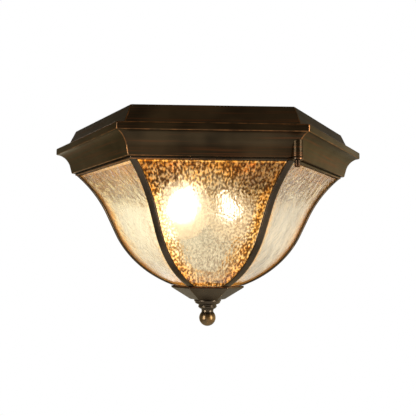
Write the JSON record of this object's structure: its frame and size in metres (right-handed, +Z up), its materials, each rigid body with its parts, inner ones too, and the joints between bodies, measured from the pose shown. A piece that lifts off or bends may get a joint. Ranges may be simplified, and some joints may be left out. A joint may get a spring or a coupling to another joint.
{
  "type": "flush mount ceiling light",
  "caption": "Hexagonal flush mount ceiling light: two-tier bronze canopy, hinged bell cage of bent seeded amber glass held by a captive screw, screw-in lamps, ball finial.",
  "frame": {"origin": "centre of the crossbar's top face, in the ceiling plane, on the light's centre line", "axes": "+Z up into the ceiling; a flat of the hexagon faces the viewer along -Y; +X to the viewer's right"},
  "size_m": [0.33, 0.2858, 0.2071],
  "materials": {
    "cast_bronze": "die-cast aluminium with a dark oil-rubbed bronze finish, worn to copper on the edges",
    "bronze_cage": "dark oil-rubbed bronze on steel, satin",
    "bronze_finial": "turned brass with a warm brown bronze finish",
    "bronze_nuts": "small brass hardware, bronze finish",
    "amber_glass": "clear seeded glass with a pale amber tint",
    "frosted_bulb": "frosted lamp bulb, lit",
    "lamp_cap_metal": "rolled lamp cap",
    "black_glass": "vitrite insulator with a solder contact",
    "porcelain": "glazed white",
    "brass": "plain brass",
    "zinc_steel": "zinc plated",
    "green_screw": "green dyed zinc",
    "insulation": "glass fibre pad",
    "black_nylon": "moulded",
    "wire_nut_plastic": "moulded, ribbed",
    "lead_jacket": "glass braid over silicone"
  },
  "bodies": {
    "fixture": {"canopy": "cast_bronze", "crossbar": "zinc_steel", "canopy_studs": "brass", "lock_nuts": "zinc_steel", "cap_nuts": "bronze_nuts", "ground_screw": "green_screw", "insulation_pad": "insulation", "wire_bushing": "black_nylon", "wire_nuts": "wire_nut_plastic", "lamp_leads": "lead_jacket", "lamp_strap": "zinc_steel", "strap_screws": "zinc_steel", "holder_screws": "zinc_steel", "holder_front": "porcelain", "holder_rear": "porcelain", "screw_shell_front": "brass", "screw_shell_rear": "brass", "contact_front": "brass", "contact_rear": "brass"},
    "cage": {"cage_ring": "bronze_cage", "hinge_pin": "bronze_nuts", "rib_right": "bronze_cage", "rib_back_right": "bronze_cage", "rib_back_left": "bronze_cage", "rib_left": "bronze_cage", "rib_front_left": "bronze_cage", "rib_front_right": "bronze_cage", "glass_back_right": "amber_glass", "glass_back": "amber_glass", "glass_back_left": "amber_glass", "glass_front_left": "amber_glass", "glass_front": "amber_glass", "glass_front_right": "amber_glass", "glass_clips": "brass", "base_plate": "bronze_cage", "foot_stud": "brass", "foot_nut": "zinc_steel", "foot_cap": "bronze_cage", "finial": "bronze_finial"},
    "latch_ring": {"snap_ring": "zinc_steel"},
    "latch_screw": {"latch_screw": "bronze_nuts"},
    "front_lamp_feed": {"lamp_contact_front": "black_glass"},
    "front_lamp": {"lamp_cap_front": "lamp_cap_metal", "lamp_bulb_front": "frosted_bulb"},
    "rear_lamp_feed": {"lamp_contact_rear": "black_glass"},
    "rear_lamp": {"lamp_cap_rear": "lamp_cap_metal", "lamp_bulb_rear": "frosted_bulb"}
  },
  "joints": [
    {"name": "cage_swing", "type": "hinge", "parent": "fixture", "child": "cage", "pos_m": [-0.07475, 0.12947, -0.0515], "axis": [0.866, 0.5, 0], "range_deg": [0, 80]},
    {"name": "latch_feed", "type": "slide", "parent": "cage", "child": "latch_ring", "axis": [0, 0, -1], "range_m": [0, 0.0085]},
    {"name": "latch_turn", "type": "hinge", "parent": "latch_ring", "child": "latch_screw", "pos_m": [0.0743, -0.12869, -0.0465], "axis": [0, 0, -1], "range_deg": [0, 3860]},
    {"name": "front_lamp_feed", "type": "slide", "parent": "fixture", "child": "front_lamp_feed", "axis": [-0.2868, -0.4967, -0.8192], "range_m": [0, 0.0109]},
    {"name": "front_lamp_turn", "type": "hinge", "parent": "front_lamp_feed", "child": "front_lamp", "pos_m": [-0.0065, -0.01126, -0.0247], "axis": [-0.2868, -0.4967, -0.8192], "range_deg": [0, 1080]},
    {"name": "rear_lamp_feed", "type": "slide", "parent": "fixture", "child": "rear_lamp_feed", "axis": [0.2868, 0.4967, -0.8192], "range_m": [0, 0.0109]},
    {"name": "rear_lamp_turn", "type": "hinge", "parent": "rear_lamp_feed", "child": "rear_lamp", "pos_m": [0.0065, 0.01126, -0.0247], "axis": [0.2868, 0.4967, -0.8192], "range_deg": [0, 1080]}
  ],
  "couplings": [
    {"joint": "latch_turn", "follows": "latch_feed", "rad_per_m": 7913.3},
    {"joint": "front_lamp_feed", "follows": "front_lamp_turn", "m_per_rad": 0.00057757},
    {"joint": "rear_lamp_feed", "follows": "rear_lamp_turn", "m_per_rad": 0.00057757}
  ]
}
